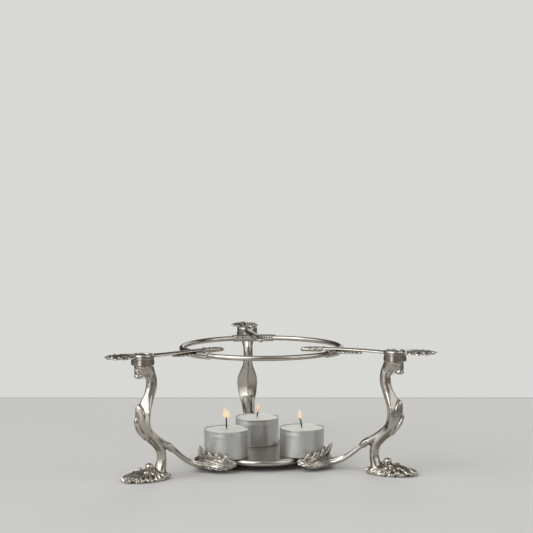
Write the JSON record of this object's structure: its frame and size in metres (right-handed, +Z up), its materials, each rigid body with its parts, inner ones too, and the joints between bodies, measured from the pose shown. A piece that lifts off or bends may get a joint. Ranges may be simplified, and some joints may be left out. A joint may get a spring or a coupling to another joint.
{
  "type": "warming stand",
  "caption": "Low three-legged metal warming stand: cast legs with leaf feet and leaf cradles for tealights, and leaf-ended arms that rest on a ring to carry a pot.",
  "frame": {"origin": "on the table, on the axis that the three legs stand around", "axes": "+Z up; one leg stands along +Y at the back, the other two at 210 and 330 degrees from +X, and -Y is the front that the picture shows"},
  "size_m": [0.2742, 0.2405, 0.1063],
  "materials": {
    "casting": "polished silver plate or nickel over a casting, darker in the recesses",
    "turned_metal": "polished plate",
    "fixings": "polished plate, a little darker",
    "foil": "bright foil with faint upright drawing lines",
    "wax": "paraffin wax, soft sheen",
    "wick": "burnt cotton"
  },
  "bodies": {
    "root": {"leg_front_left": "casting", "leg_front_right": "casting", "leg_back": "casting", "collar_front_left": "turned_metal", "collar_front_right": "turned_metal", "collar_back": "turned_metal", "arm_front_left": "casting", "arm_front_right": "casting", "arm_back": "casting", "support_ring": "turned_metal", "ring_wrap_front_left": "casting", "ring_wrap_front_right": "casting", "ring_wrap_back": "casting", "candle_plate": "turned_metal", "plate_rivets": "fixings", "arm_screws": "fixings", "tealight_cup_front_left": "foil", "tealight_cup_front_right": "foil", "tealight_cup_back": "foil", "tealight_wax_front_left": "wax", "tealight_wax_front_right": "wax", "tealight_wax_back": "wax", "tealight_wick_front_left": "wick", "tealight_wick_front_right": "wick", "tealight_wick_back": "wick"}
  },
  "joints": []
}
